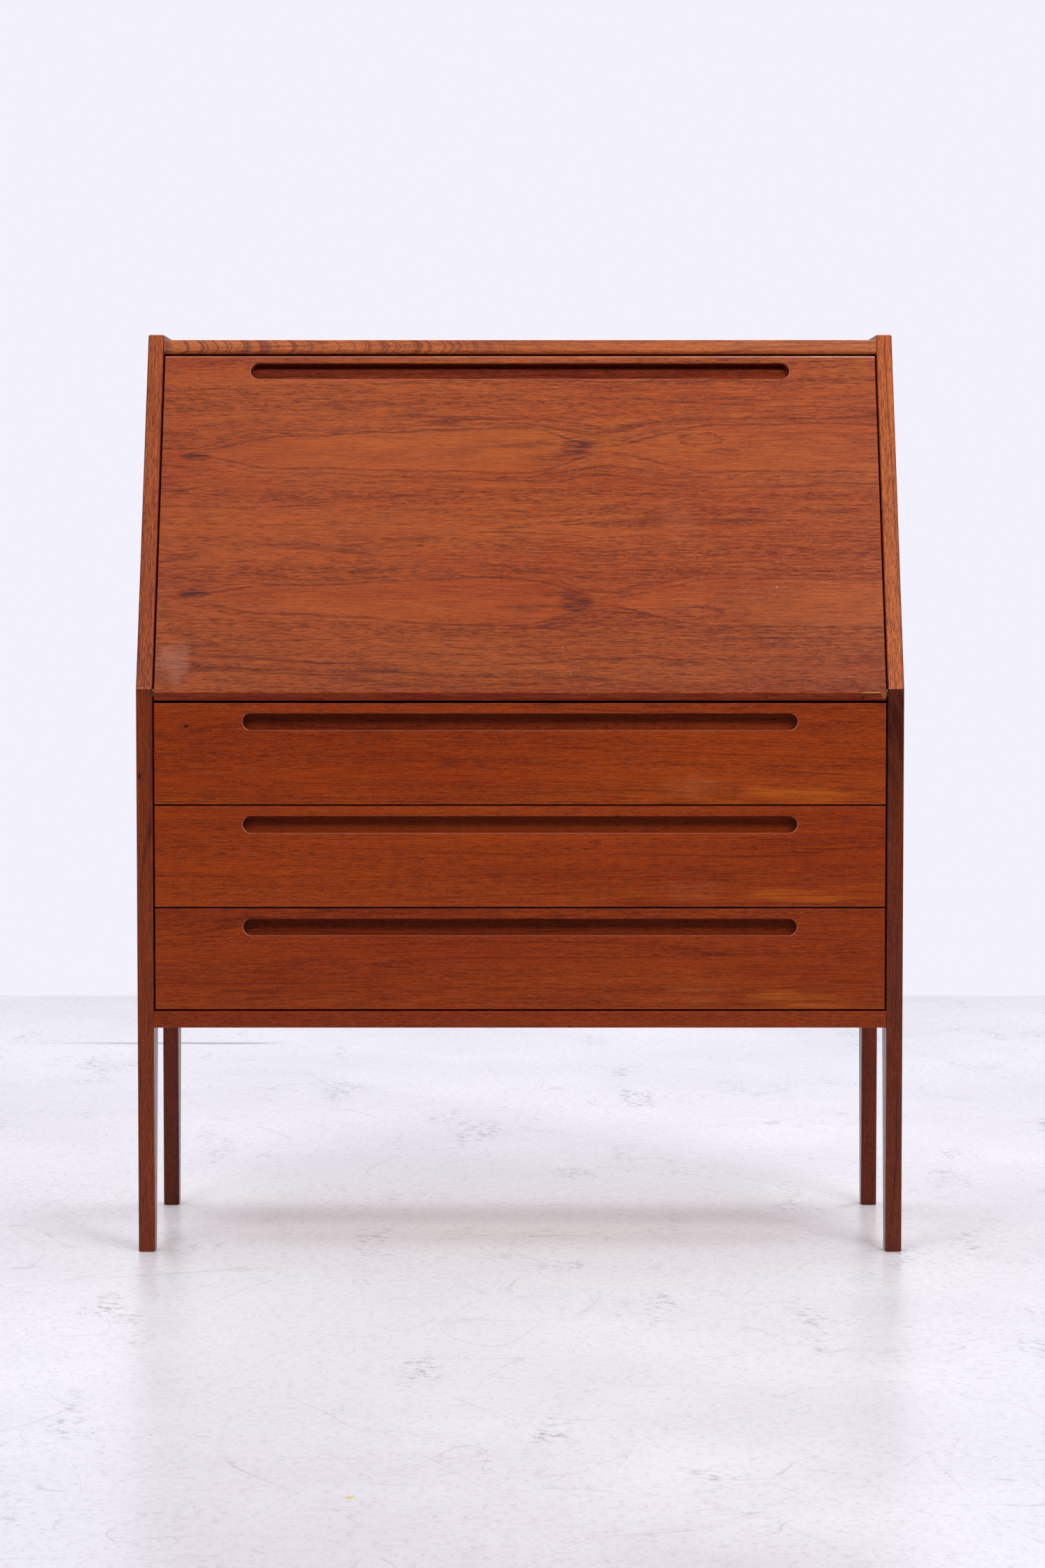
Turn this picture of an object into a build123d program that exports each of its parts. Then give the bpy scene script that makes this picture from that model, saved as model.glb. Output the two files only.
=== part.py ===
from build123d import *
import math
import os
from dataclasses import dataclass

# A slant-front secretary desk: two full-height sides whose front edges run straight up
# from the floor to a knee and then lean back, a fall flap between the leaning edges, and
# three full-width drawers below it. Millimetres, +Z up, front towards -Y, origin on the
# floor under the middle of the desk.

# ---- overall size
width = 985
depth = 436
height = 1189
front = -depth / 2
back = depth / 2

# ---- sides
side_thickness = 21
knee_height = 727
top_setback = 211
leg_height = 290.6
front_leg_depth = 63.5
front_foot_depth = 31
rear_leg_depth = 56
rear_foot_depth = 27.5
side_edge_round = 2.2
top_corner_round = 3
inner_half = width / 2 - side_thickness
side_gap = 2
fit_gap = 0.3

# ---- boards between the sides
face_recess = 0.7
board_edge_round = 1.5
rail_height = 21.7
rail_depth = 45
rail_edge_round = 2
bottom_panel_thickness = 16
floor_thickness = 19
floor_clearance = 1
top_underside = 1162
top_board_thickness = 20
top_board_inset = 1
top_under_round = 5
back_panel_thickness = 6
back_panel_recess = 6
back_panel_drop = 1
back_panel_front = back - back_panel_recess - back_panel_thickness

# ---- fall flap
flap_thickness = 19
flap_inset = 2.5
flap_bottom = 711.8
flap_top = 1160.6
flap_heel_round = 3
flap_arris_round = 1.2
flap_end_round = 0.9
flap_slot_height = 23
flap_slot_drop = 10.6
flap_slot_depth = 13
slot_length = 712
slot_rim_round = 1.4
pivot_setback = 10
pivot_height = 721.5
pin_radius = 3.5
pin_clearance = 0.05
pin_in_side = 12
pin_short_of_bush = 1.5
bush_radius = 5.5
bush_length = 14
collar_radius = 6
collar_thickness = 1.5
stop_strip_depth = 24
stop_strip_height = 27
stop_strip_end = 8

# ---- brass stays of the flap
stay_reach = 140
stay_stand_off = 7
stay_turn = 0.4
stud_setback = 97.7
stud_height = 833.7
stud_radius = 2.5
stud_head_radius = 5
stud_head_thickness = 2
stay_slot_width = 5.5
stay_width = 13
stay_thickness = 2.5
stay_eye_radius = 6.2
stay_tip = 9
stay_plate_thickness = 1.5
stay_plate_width = 18
stay_plate_length = 46
stay_gap = 0.6
bracket_thickness = 2
bracket_base_length = 34
bracket_base_width = 24
bracket_corner_round = 3
pin_head_radius = 4.2
pin_head_thickness = 0.9

# ---- drawers and their runners
drawer_bottoms = {"drawer_1": 578.7, "drawer_2": 446.65, "drawer_3": 314.6}
drawer_front_height = 130.1
letter_drawer_gap = 0.5
letter_drawer_slack = 1.6
drawer_side_gap = 0.5
panel_housing_share = 0.36
tail_length_share = 0.93
tail_neck_share = 0.24
tail_flare_share = 0.34
drawer_back_inset = 2
drawer_back_drop = 6
front_rebate = 6
front_edge_round = 1.2
runner_height = 14
runner_thickness = 8
runner_front = 22
runner_length = 378
runner_rise = 64
runner_end_round = 2

# ---- gallery behind the flap
gallery_front = 250
gallery_board = 12
gallery_shelf_height = 850
shelf_housing = 6
nest_half = 310
divider_offset = 157
divider_rake = 22

# ---- dowels, by their setback from the front
dowel_radius = 4
dowel_length = 32
dowel_in_side = 12
top_dowels = (258, 322, 402)
floor_dowels = (110, 220, 330)
rail_dowels = (16, 33)
panel_dowels = (120, 225, 330)


# ---- screws
@dataclass
class Screw:
    head_radius: float
    shank_radius: float
    head_depth: float
    length: float


back_screw = Screw(head_radius=3.6, shank_radius=1.8, head_depth=2.2, length=26)
runner_screw = Screw(head_radius=3.2, shank_radius=1.6, head_depth=2.0, length=17)
stud_screw = Screw(head_radius=2.8, shank_radius=1.4, head_depth=1.4, length=13)
bracket_screw = Screw(head_radius=2.8, shank_radius=1.4, head_depth=1.8, length=13)
board_back_screws = (-420, -210, 0, 210, 420)
shelf_back_screws = (-300, 0, 300)
runner_screws = (85, 220, 355)
screw_margin = 6

# ---- worked out from the driving sizes
slant = math.atan2(top_setback, height - knee_height)
slope = math.tan(slant)
face_y = front + face_recess
flap_break = knee_height + (face_recess - flap_inset / math.cos(slant)) / slope
flap_half = inner_half - side_gap
pivot_y = front + pivot_setback
pivot_behind_break = pivot_setback - face_recess
pivot_under_break = flap_break - pivot_height
pivot_to_face = pivot_behind_break * math.cos(slant) + pivot_under_break * math.sin(slant)
pivot_to_inner = flap_thickness - pivot_to_face
floor_top = pivot_height + pivot_to_inner
floor_underside = floor_top - floor_thickness
flap_swing = math.pi / 2 + slant
stud_y = front + stud_setback

os.makedirs("parts", exist_ok=True)


def slant_y(z, inset=0.0):
    """Y, at height z, of the line that lies inset mm inside the sides' leaning edge."""
    return front + (z - knee_height) * slope + inset / math.cos(slant)


def along_flap(up, inwards):
    """(Y, Z) of a point measured from the flap's pivot up the flap and towards the inside."""
    y = pivot_y + up * math.sin(slant) + inwards * math.cos(slant)
    z = pivot_height + up * math.cos(slant) - inwards * math.sin(slant)
    return y, z


def turned(point, angle):
    """A (Y, Z) vector turned by angle about +X."""
    y, z = point
    return y * math.cos(angle) - z * math.sin(angle), y * math.sin(angle) + z * math.cos(angle)


def save(piece, name):
    piece.part.label = name
    export_step(piece.part, f"parts/{name}.step")


def board(x_range, y_range, z_range, cutters=(), edge_round=0.0):
    """A flat board between the given limits, with its long front edges eased."""
    with BuildPart() as piece:
        with BuildSketch(Plane.XY.offset(z_range[0])):
            with Locations(((x_range[0] + x_range[1]) / 2, (y_range[0] + y_range[1]) / 2)):
                Rectangle(x_range[1] - x_range[0], y_range[1] - y_range[0])
        extrude(amount=z_range[1] - z_range[0])
        if edge_round:
            fillet(piece.faces().sort_by(Axis.Y)[0].edges().filter_by(Axis.X), edge_round)
        for cutter in cutters:
            add(cutter.part, mode=Mode.SUBTRACT)
    return piece


def slab(outline, x_low, x_high, rounds=(), cutters=()):
    """A (Y, Z) outline carried from x_low to x_high, with its listed corners rounded."""
    with BuildPart() as piece:
        with BuildSketch(Plane.YZ.offset(x_low)) as profile:
            with BuildLine():
                Polyline(*outline, close=True)
            make_face()
            for corner, radius in rounds:
                fillet(profile.vertices().sort_by_distance((*corner, 0))[0], radius)
        extrude(amount=x_high - x_low)
        for cutter in cutters:
            add(cutter.part, mode=Mode.SUBTRACT)
    return piece


def screws(planes, screw):
    """Countersunk screws, one to a plane, each head flush with its plane."""
    top = (Align.CENTER, Align.CENTER, Align.MAX)
    with BuildPart() as group:
        with Locations(*planes):
            Cone(screw.shank_radius, screw.head_radius, screw.head_depth, align=top)
            Cylinder(screw.shank_radius, screw.length, align=top)
    return group


# ---------------------------------------------------------------- fasteners
def dowel_places():
    """(setback, height) of every dowel that joins a board to a side."""
    rows = (
        (top_dowels, top_underside + top_board_thickness / 2),
        (floor_dowels, floor_top - floor_thickness / 2),
        (rail_dowels, leg_height + rail_height / 2),
        (panel_dowels, leg_height + rail_height - bottom_panel_thickness / 2),
    )
    return [(setback, dowel_z) for setbacks, dowel_z in rows for setback in setbacks]


with BuildPart() as carcass_dowels:
    for sign in (-1, 1):
        start = sign * (inner_half + dowel_in_side)
        for setback, dowel_z in dowel_places():
            with BuildSketch(Plane.YZ.offset(start)):
                with Locations((front + setback, dowel_z)):
                    Circle(dowel_radius)
            extrude(amount=-sign * dowel_length)


def back_screw_planes():
    """Places of the screws that hold the back panel, heads towards +Y."""
    rows = {
        top_underside + top_board_thickness / 2: board_back_screws,
        gallery_shelf_height + gallery_board / 2: shelf_back_screws,
        floor_top - floor_thickness / 2: board_back_screws,
        leg_height + rail_height - bottom_panel_thickness / 2: board_back_screws,
    }
    rear_face = back - back_panel_recess
    return [
        Plane(origin=(x, rear_face, z), x_dir=(1, 0, 0), z_dir=(0, 1, 0))
        for z, places in rows.items()
        for x in places
    ]


def runner_screw_planes():
    """Places of the screws that hold the runners, heads towards the drawers."""
    return [
        Plane(
            origin=(sign * (inner_half - runner_thickness), front + setback, low + runner_rise),
            x_dir=(0, 1, 0),
            z_dir=(-sign, 0, 0),
        )
        for low in drawer_bottoms.values()
        for sign in (-1, 1)
        for setback in runner_screws
    ]


def stay_screw_planes():
    """Places of the screws that hold the stud plates to the sides."""
    reach = stay_plate_length / 2 - screw_margin
    return [
        Plane(
            origin=(
                sign * (inner_half - stay_plate_thickness),
                stud_y + step * math.sin(slant),
                stud_height + step * math.cos(slant),
            ),
            x_dir=(0, 1, 0),
            z_dir=(-sign, 0, 0),
        )
        for sign in (-1, 1)
        for step in (-reach, reach)
    ]


back_screw_group = screws(back_screw_planes(), back_screw)
runner_screw_group = screws(runner_screw_planes(), runner_screw)
stay_screw_group = screws(stay_screw_planes(), stud_screw)
with BuildPart() as case_screws:
    add(back_screw_group.part)
    add(runner_screw_group.part)
    add(stay_screw_group.part)

with BuildPart() as pivot_pins:
    for sign in (-1, 1):
        with BuildSketch(Plane.YZ.offset(sign * (inner_half + pin_in_side))):
            with Locations((pivot_y, pivot_height)):
                Circle(pin_radius)
        extrude(amount=-sign * (pin_in_side + side_gap + bush_length - pin_short_of_bush))
        with BuildSketch(Plane.YZ.offset(sign * inner_half)):
            with Locations((pivot_y, pivot_height)):
                Circle(collar_radius)
        extrude(amount=-sign * collar_thickness)


# ---------------------------------------------------------------- stud plates on the sides
stud_plates = {}
for sign, hand in ((-1, "left"), (1, "right")):
    plate_face = sign * (inner_half - stay_plate_thickness)
    head_inner = plate_face - sign * (2 * stay_gap + stay_thickness + stud_head_thickness)
    with BuildPart() as stud_plate:
        with BuildSketch(Plane.YZ.offset(sign * inner_half)):
            with Locations(Location((stud_y, stud_height), math.degrees(math.pi / 2 - slant))):
                SlotOverall(stay_plate_length, stay_plate_width)
        extrude(amount=-sign * stay_plate_thickness)
        with BuildSketch(Plane.YZ.offset(plate_face)):
            with Locations((stud_y, stud_height)):
                Circle(stud_radius)
        extrude(amount=head_inner - plate_face)
        with BuildSketch(Plane.YZ.offset(head_inner)):
            with Locations((stud_y, stud_height)):
                Circle(stud_head_radius)
        extrude(amount=sign * stud_head_thickness)
        add(case_screws.part, mode=Mode.SUBTRACT)
    stud_plates[hand] = stud_plate
    save(stud_plate, f"stay_stud_{hand}")


# ---------------------------------------------------------------- gallery shelf
with BuildPart() as gallery_shelf:
    with BuildSketch(Plane.XY.offset(gallery_shelf_height)):
        with Locations((0, (front + gallery_front + back_panel_front) / 2)):
            Rectangle(2 * (inner_half + shelf_housing), back_panel_front - front - gallery_front)
    extrude(amount=gallery_board)
    fillet(gallery_shelf.faces().sort_by(Axis.Y)[0].edges().filter_by(Axis.X), board_edge_round)
    add(case_screws.part, mode=Mode.SUBTRACT)


# ---------------------------------------------------------------- sides
side_outline = [
    (front, 0),
    (front + front_foot_depth, 0),
    (front + front_leg_depth, leg_height),
    (back - rear_leg_depth, leg_height),
    (back - rear_leg_depth, 0),
    (back - rear_leg_depth + rear_foot_depth, 0),
    (back, leg_height),
    (back, height),
    (front + top_setback, height),
    (front, knee_height),
]
beyond = 10
post_back = front + front_leg_depth
rear_post_front = back - rear_leg_depth
over_top = height + beyond
post_back_over_top = post_back + (over_top - knee_height) * slope
side_regions = {
    "front_leg": [
        (front - beyond, -beyond),
        (post_back, -beyond),
        (post_back, knee_height),
        (front - beyond, knee_height),
    ],
    "slant_post": [
        (front - beyond, knee_height),
        (post_back, knee_height),
        (post_back_over_top, over_top),
        (front - beyond, over_top),
    ],
    "side_panel": [
        (post_back, leg_height - beyond),
        (rear_post_front, leg_height - beyond),
        (rear_post_front, over_top),
        (post_back_over_top, over_top),
        (post_back, knee_height),
    ],
    "rear_leg": [
        (rear_post_front, -beyond),
        (back + beyond, -beyond),
        (back + beyond, over_top),
        (rear_post_front, over_top),
    ],
}

for sign, hand in ((-1, "left"), (1, "right")):
    x_low = min(sign * inner_half, sign * width / 2)
    with BuildPart() as side_blank:
        with BuildSketch(Plane.YZ.offset(x_low)) as side_profile:
            with BuildLine():
                Polyline(*side_outline, close=True)
            make_face()
            fillet(side_profile.vertices().group_by(Axis.Y)[-1], top_corner_round)
        extrude(amount=side_thickness)
        fillet(side_blank.faces().filter_by(Axis.X).edges(), side_edge_round)
    for region_name, region in side_regions.items():
        with BuildPart() as side_piece:
            add(side_blank.part)
            with BuildSketch(Plane.YZ.offset(x_low - beyond)):
                with BuildLine():
                    Polyline(*region, close=True)
                make_face()
            extrude(amount=side_thickness + 2 * beyond, mode=Mode.INTERSECT)
            for cutter in (carcass_dowels, case_screws, pivot_pins, gallery_shelf):
                add(cutter.part, mode=Mode.SUBTRACT)
        save(side_piece, f"{region_name}_{hand}")


# ---------------------------------------------------------------- boards of the case
full_width = (-inner_half, inner_half)
rail_top = leg_height + rail_height
bottom_rail = board(
    full_width,
    (face_y, front + rail_depth),
    (leg_height, rail_top),
    cutters=(carcass_dowels,),
    edge_round=rail_edge_round,
)
save(bottom_rail, "bottom_rail")

bottom_panel = board(
    full_width,
    (front + rail_depth, back_panel_front),
    (rail_top - bottom_panel_thickness, rail_top),
    cutters=(carcass_dowels, case_screws),
)
save(bottom_panel, "bottom_panel")

floor_front = slant_y(floor_top, flap_inset + flap_thickness) + floor_clearance
desk_floor = board(
    full_width,
    (floor_front, back_panel_front),
    (floor_underside, floor_top),
    cutters=(carcass_dowels, case_screws),
    edge_round=board_edge_round,
)
save(desk_floor, "desk_floor")

top_surface = top_underside + top_board_thickness
top_front_low = (slant_y(top_underside, top_board_inset), top_underside)
top_front_high = (slant_y(top_surface, top_board_inset), top_surface)
top_board = slab(
    [top_front_low, (back_panel_front, top_underside), (back_panel_front, top_surface), top_front_high],
    -inner_half,
    inner_half,
    rounds=((top_front_low, top_under_round), (top_front_high, board_edge_round)),
    cutters=(carcass_dowels, case_screws),
)
save(top_board, "top_board")

back_panel = board(
    (-inner_half + fit_gap, inner_half - fit_gap),
    (back_panel_front, back_panel_front + back_panel_thickness),
    (leg_height, top_surface - back_panel_drop),
    cutters=(case_screws,),
)
save(back_panel, "back_panel")

inner_inset = flap_inset + flap_thickness
stop_low = top_underside - stop_strip_height
flap_stop = slab(
    [
        (slant_y(stop_low, inner_inset + fit_gap), stop_low),
        (slant_y(stop_low, inner_inset) + stop_strip_depth, stop_low),
        (slant_y(stop_low, inner_inset) + stop_strip_depth, top_underside),
        (slant_y(top_underside, inner_inset + fit_gap), top_underside),
    ],
    -inner_half + stop_strip_end,
    inner_half - stop_strip_end,
)
save(flap_stop, "flap_stop")

save(carcass_dowels, "carcass_dowels")
save(case_screws, "case_screws")
save(pivot_pins, "pivot_pins")

for number, low in enumerate(drawer_bottoms.values(), start=1):
    with BuildPart() as runner_pair:
        for sign in (-1, 1):
            with BuildSketch(Plane.YZ.offset(sign * inner_half)):
                with Locations((front + runner_front + runner_length / 2, low + runner_rise)):
                    RectangleRounded(runner_length, runner_height, runner_end_round)
            extrude(amount=-sign * runner_thickness)
        add(case_screws.part, mode=Mode.SUBTRACT)
    save(runner_pair, f"drawer_{number}_runners")


# ---------------------------------------------------------------- gallery behind the flap
save(gallery_shelf, "gallery_shelf")
gallery_depth = (front + gallery_front, back_panel_front)
for name, middle in (("left", -nest_half), ("middle", 0), ("right", nest_half)):
    nest_wall = board(
        (middle - gallery_board / 2, middle + gallery_board / 2),
        gallery_depth,
        (floor_top, gallery_shelf_height),
    )
    save(nest_wall, f"nest_wall_{name}")

for name, middle in (("left", -divider_offset), ("right", divider_offset)):
    divider = slab(
        [
            (front + gallery_front, gallery_shelf_height + gallery_board),
            (back_panel_front, gallery_shelf_height + gallery_board),
            (back_panel_front, top_underside),
            (front + gallery_front + divider_rake, top_underside),
        ],
        middle - gallery_board / 2,
        middle + gallery_board / 2,
    )
    save(divider, f"divider_{name}")


# ---------------------------------------------------------------- flap
bracket_up = stay_reach
bracket_x = inner_half - stay_plate_thickness - stay_gap - stay_thickness - fit_gap
inner_face = Plane(
    origin=(0, *along_flap(0, pivot_to_inner)),
    x_dir=(1, 0, 0),
    z_dir=(0, math.cos(slant), -math.sin(slant)),
)


def bracket_screw_planes():
    """Places of the screws that hold the stay brackets to the inside of the flap."""
    planes = []
    for sign in (-1, 1):
        for step in (-1, 1):
            up = bracket_up + step * (bracket_base_length / 2 - screw_margin)
            y, z = along_flap(up, pivot_to_inner + bracket_thickness)
            x = sign * (bracket_x - bracket_base_width / 2)
            planes.append(Plane(origin=(x, y, z), x_dir=(1, 0, 0), z_dir=inner_face.z_dir))
    return planes


flap_screws = screws(bracket_screw_planes(), bracket_screw)
save(flap_screws, "flap_screws")

with BuildPart() as pivot_bushes:
    for sign in (-1, 1):
        with BuildSketch(Plane.YZ.offset(sign * flap_half)):
            with Locations((pivot_y, pivot_height)):
                Circle(bush_radius)
                Circle(pin_radius + pin_clearance, mode=Mode.SUBTRACT)
        extrude(amount=-sign * bush_length)
save(pivot_bushes, "pivot_bushes")

top_point = (slant_y(flap_top, flap_inset), flap_top)
top_inner_point = (
    top_point[0] + flap_thickness * math.cos(slant),
    top_point[1] - flap_thickness * math.sin(slant),
)
flap_outline = [
    (face_y, flap_bottom),
    (slant_y(flap_bottom, inner_inset), flap_bottom),
    top_inner_point,
    top_point,
    (face_y, flap_break),
]
slot_middle = flap_slot_drop + flap_slot_height / 2
outer_face = Plane(
    origin=(
        0,
        top_point[0] - slot_middle * math.sin(slant),
        top_point[1] - slot_middle * math.cos(slant),
    ),
    x_dir=(1, 0, 0),
    z_dir=(0, -math.cos(slant), math.sin(slant)),
)
with BuildPart() as flap_board:
    with BuildSketch(Plane.YZ.offset(-flap_half)) as flap_profile:
        with BuildLine():
            Polyline(*flap_outline, close=True)
        make_face()
        small = flap_arris_round
        flap_rounds = (flap_heel_round, small, small, board_edge_round, small)
        for corner, radius in zip(flap_outline, flap_rounds):
            fillet(flap_profile.vertices().sort_by_distance((*corner, 0))[0], radius)
    extrude(amount=2 * flap_half)
    fillet(flap_board.faces().filter_by(Axis.X).edges(), flap_end_round)
    with BuildSketch(outer_face):
        SlotOverall(slot_length, flap_slot_height)
    extrude(amount=-flap_slot_depth, mode=Mode.SUBTRACT)
    slotted_face = flap_board.faces().sort_by_distance(outer_face.origin)
    rim_face = [face for face in slotted_face if face.inner_wires()][0]
    fillet(rim_face.inner_wires()[0].edges(), slot_rim_round)
    for sign in (-1, 1):
        with BuildSketch(Plane.YZ.offset(sign * flap_half)):
            with Locations((pivot_y, pivot_height)):
                Circle(bush_radius)
        extrude(amount=-sign * bush_length, mode=Mode.SUBTRACT)
    add(flap_screws.part, mode=Mode.SUBTRACT)
save(flap_board, "flap_board")


# ---------------------------------------------------------------- stays
eye = along_flap(stay_reach, pivot_to_inner + stay_stand_off)


def stud_in_stay(swing):
    """The stud's (Y, Z) from the stay's eye, in the stay's own frame, at a flap swing."""
    eye_now = turned((eye[0] - pivot_y, eye[1] - pivot_height), swing)
    from_eye = (stud_y - pivot_y - eye_now[0], stud_height - pivot_height - eye_now[1])
    return turned(from_eye, -stay_turn * swing)


def in_row(point):
    """A point of the stay's own frame, at rest, in the desk's (Y, Z)."""
    return eye[0] + point[0], eye[1] + point[1]


path_steps = 8
band_steps = 24
swings = [flap_swing * step / path_steps for step in range(path_steps + 1)]
slot_path = [in_row(stud_in_stay(swing)) for swing in swings]
last_run = math.dist(slot_path[-2], slot_path[-1])
tip = tuple(
    end + (end - before) * stay_tip / last_run for before, end in zip(slot_path[-2], slot_path[-1])
)


def band(points, half_width):
    """Round-ended outline of a band that follows the smooth line through the points."""
    centre = Spline(*points, mode=Mode.PRIVATE)
    stations = [step / band_steps for step in range(band_steps + 1)]
    middles = [centre.position_at(station) for station in stations]
    ways = [centre.tangent_at(station) for station in stations]
    one_side = [m + Vector(-way.Y, way.X) * half_width for m, way in zip(middles, ways)]
    other_side = [m + Vector(way.Y, -way.X) * half_width for m, way in zip(middles, ways)]
    Spline(*one_side)
    ThreePointArc(one_side[-1], middles[-1] + ways[-1] * half_width, other_side[-1])
    Spline(*reversed(other_side))
    ThreePointArc(other_side[0], middles[0] - ways[0] * half_width, one_side[0])


for sign, hand in ((-1, "left"), (1, "right")):
    stay_low = sign * (inner_half - stay_plate_thickness - stay_gap)
    with BuildPart() as stay:
        with BuildSketch(Plane.YZ.offset(stay_low)):
            with BuildLine():
                band([eye, *slot_path, tip], stay_width / 2)
            make_face()
            with BuildLine():
                band(slot_path, stay_slot_width / 2)
            make_face(mode=Mode.SUBTRACT)
            with Locations(eye):
                Circle(stud_radius + pin_clearance, mode=Mode.SUBTRACT)
        extrude(amount=-sign * stay_thickness)
    save(stay, f"flap_stay_{hand}")

    lug_outer = stay_low - sign * (stay_thickness + fit_gap)
    pin_reach = stay_thickness + 2 * fit_gap
    base_middle = along_flap(bracket_up, pivot_to_inner + bracket_thickness / 2)
    with BuildPart() as bracket:
        with BuildSketch(Plane.YZ.offset(lug_outer)):
            with Locations(eye):
                Circle(stay_eye_radius)
            with Locations(Location(base_middle, math.degrees(math.pi / 2 - slant))):
                Rectangle(bracket_base_length, bracket_thickness)
            make_hull()
        extrude(amount=-sign * bracket_thickness)
        with BuildSketch(inner_face):
            with Locations((sign * (bracket_x - bracket_base_width / 2), -bracket_up)):
                RectangleRounded(bracket_base_width, bracket_base_length, bracket_corner_round)
        extrude(amount=bracket_thickness)
        with BuildSketch(Plane.YZ.offset(lug_outer)):
            with Locations(eye):
                Circle(stud_radius)
        extrude(amount=sign * pin_reach)
        with BuildSketch(Plane.YZ.offset(lug_outer + sign * pin_reach)):
            with Locations(eye):
                Circle(pin_head_radius)
        extrude(amount=sign * pin_head_thickness)
        add(flap_screws.part, mode=Mode.SUBTRACT)
    save(bracket, f"stay_bracket_{hand}")


# ---------------------------------------------------------------- drawers
@dataclass
class DrawerKind:
    front_width: float
    front_height: float
    front_thickness: float
    front_setback: float
    side_thickness: float
    side_rise: float
    side_height: float
    box_length: float
    bottom_rise: float
    bottom_thickness: float
    tail_count: int
    slot_length: float
    slot_height: float
    slot_depth: float
    slot_drop: float
    runner_groove: bool


large_drawer = DrawerKind(
    front_width=2 * flap_half,
    front_height=drawer_front_height,
    front_thickness=20,
    front_setback=face_recess,
    side_thickness=14,
    side_rise=9,
    side_height=110,
    box_length=386,
    bottom_rise=17,
    bottom_thickness=5,
    tail_count=4,
    slot_length=slot_length,
    slot_height=21.5,
    slot_depth=14,
    slot_drop=13.3,
    runner_groove=True,
)
small_drawer = DrawerKind(
    front_width=nest_half - gallery_board - 2 * letter_drawer_gap,
    front_height=gallery_shelf_height - floor_top - letter_drawer_slack,
    front_thickness=14,
    front_setback=gallery_front + 2,
    side_thickness=8,
    side_rise=0.4,
    side_height=104,
    box_length=150,
    bottom_rise=6,
    bottom_thickness=4,
    tail_count=3,
    slot_length=110,
    slot_height=16,
    slot_depth=8,
    slot_drop=12,
    runner_groove=False,
)


def make_drawer(name, middle, low, kind):
    """A dovetailed drawer whose front's lower edge is at height low."""
    front_y = front + kind.front_setback
    shoulder = front_y + kind.front_thickness
    rear = shoulder + kind.box_length
    half = kind.front_width / 2
    outer = half - drawer_side_gap
    inner = outer - kind.side_thickness
    housing = kind.side_thickness * panel_housing_share
    side_low = low + kind.side_rise
    side_high = side_low + kind.side_height
    groove_low = low + kind.bottom_rise
    groove_high = groove_low + kind.bottom_thickness

    drawer_bottom = board(
        (middle - inner - housing, middle + inner + housing),
        (shoulder - front_rebate, rear),
        (groove_low, groove_high),
    )
    save(drawer_bottom, f"{name}_bottom")
    drawer_back = board(
        (middle - inner - housing, middle + inner + housing),
        (rear - kind.side_thickness, rear - drawer_back_inset),
        (groove_high, side_high - drawer_back_drop),
    )
    save(drawer_back, f"{name}_back")

    tail_pitch = kind.side_height / kind.tail_count
    tail_length = kind.side_thickness * tail_length_share
    drawer_sides = []
    for sign, hand in ((-1, "left"), (1, "right")):
        x_low = middle + min(sign * inner, sign * outer)
        with BuildPart() as drawer_side:
            with BuildSketch(Plane.YZ.offset(x_low)):
                with Locations(((shoulder + rear) / 2, (side_low + side_high) / 2)):
                    Rectangle(rear - shoulder, kind.side_height)
                for tail in range(kind.tail_count):
                    tail_z = side_low + (tail + 0.5) * tail_pitch
                    neck = tail_pitch * tail_neck_share
                    flare = tail_pitch * tail_flare_share
                    with BuildLine():
                        Polyline(
                            (shoulder, tail_z - neck),
                            (shoulder, tail_z + neck),
                            (shoulder - tail_length, tail_z + flare),
                            (shoulder - tail_length, tail_z - flare),
                            close=True,
                        )
                    make_face()
            extrude(amount=kind.side_thickness)
            if kind.runner_groove:
                groove_half = runner_height / 2 + fit_gap
                with BuildSketch(Plane.YZ.offset(middle + sign * half)):
                    with Locations(((shoulder + rear) / 2, low + runner_rise)):
                        Rectangle(rear - shoulder, 2 * groove_half)
                groove_floor = inner_half - runner_thickness - drawer_side_gap
                extrude(amount=-sign * (half - groove_floor), mode=Mode.SUBTRACT)
            add(drawer_bottom.part, mode=Mode.SUBTRACT)
            add(drawer_back.part, mode=Mode.SUBTRACT)
        save(drawer_side, f"{name}_side_{hand}")
        drawer_sides.append(drawer_side)

    face_plane = Plane(origin=(middle, front_y, low), x_dir=(1, 0, 0), z_dir=(0, -1, 0))
    with BuildPart() as drawer_front:
        with BuildSketch(face_plane):
            with Locations((0, kind.front_height / 2)):
                Rectangle(kind.front_width, kind.front_height)
        extrude(amount=-kind.front_thickness)
        fillet(drawer_front.faces().sort_by(Axis.Y)[0].edges(), front_edge_round)
        with BuildSketch(face_plane):
            with Locations((0, kind.front_height - kind.slot_drop - kind.slot_height / 2)):
                SlotOverall(kind.slot_length, kind.slot_height)
        extrude(amount=-kind.slot_depth, mode=Mode.SUBTRACT)
        slotted = drawer_front.faces().filter_by(Axis.Y).sort_by(Axis.Y)[0]
        fillet(slotted.inner_wires()[0].edges(), slot_rim_round)
        for cutter in (drawer_bottom, *drawer_sides):
            add(cutter.part, mode=Mode.SUBTRACT)
    save(drawer_front, f"{name}_front")


for name, low in drawer_bottoms.items():
    make_drawer(name, 0, low, large_drawer)
for name, sign in (("letter_drawer_left", -1), ("letter_drawer_right", 1)):
    make_drawer(name, sign * nest_half / 2, floor_top, small_drawer)
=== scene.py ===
import math

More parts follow.
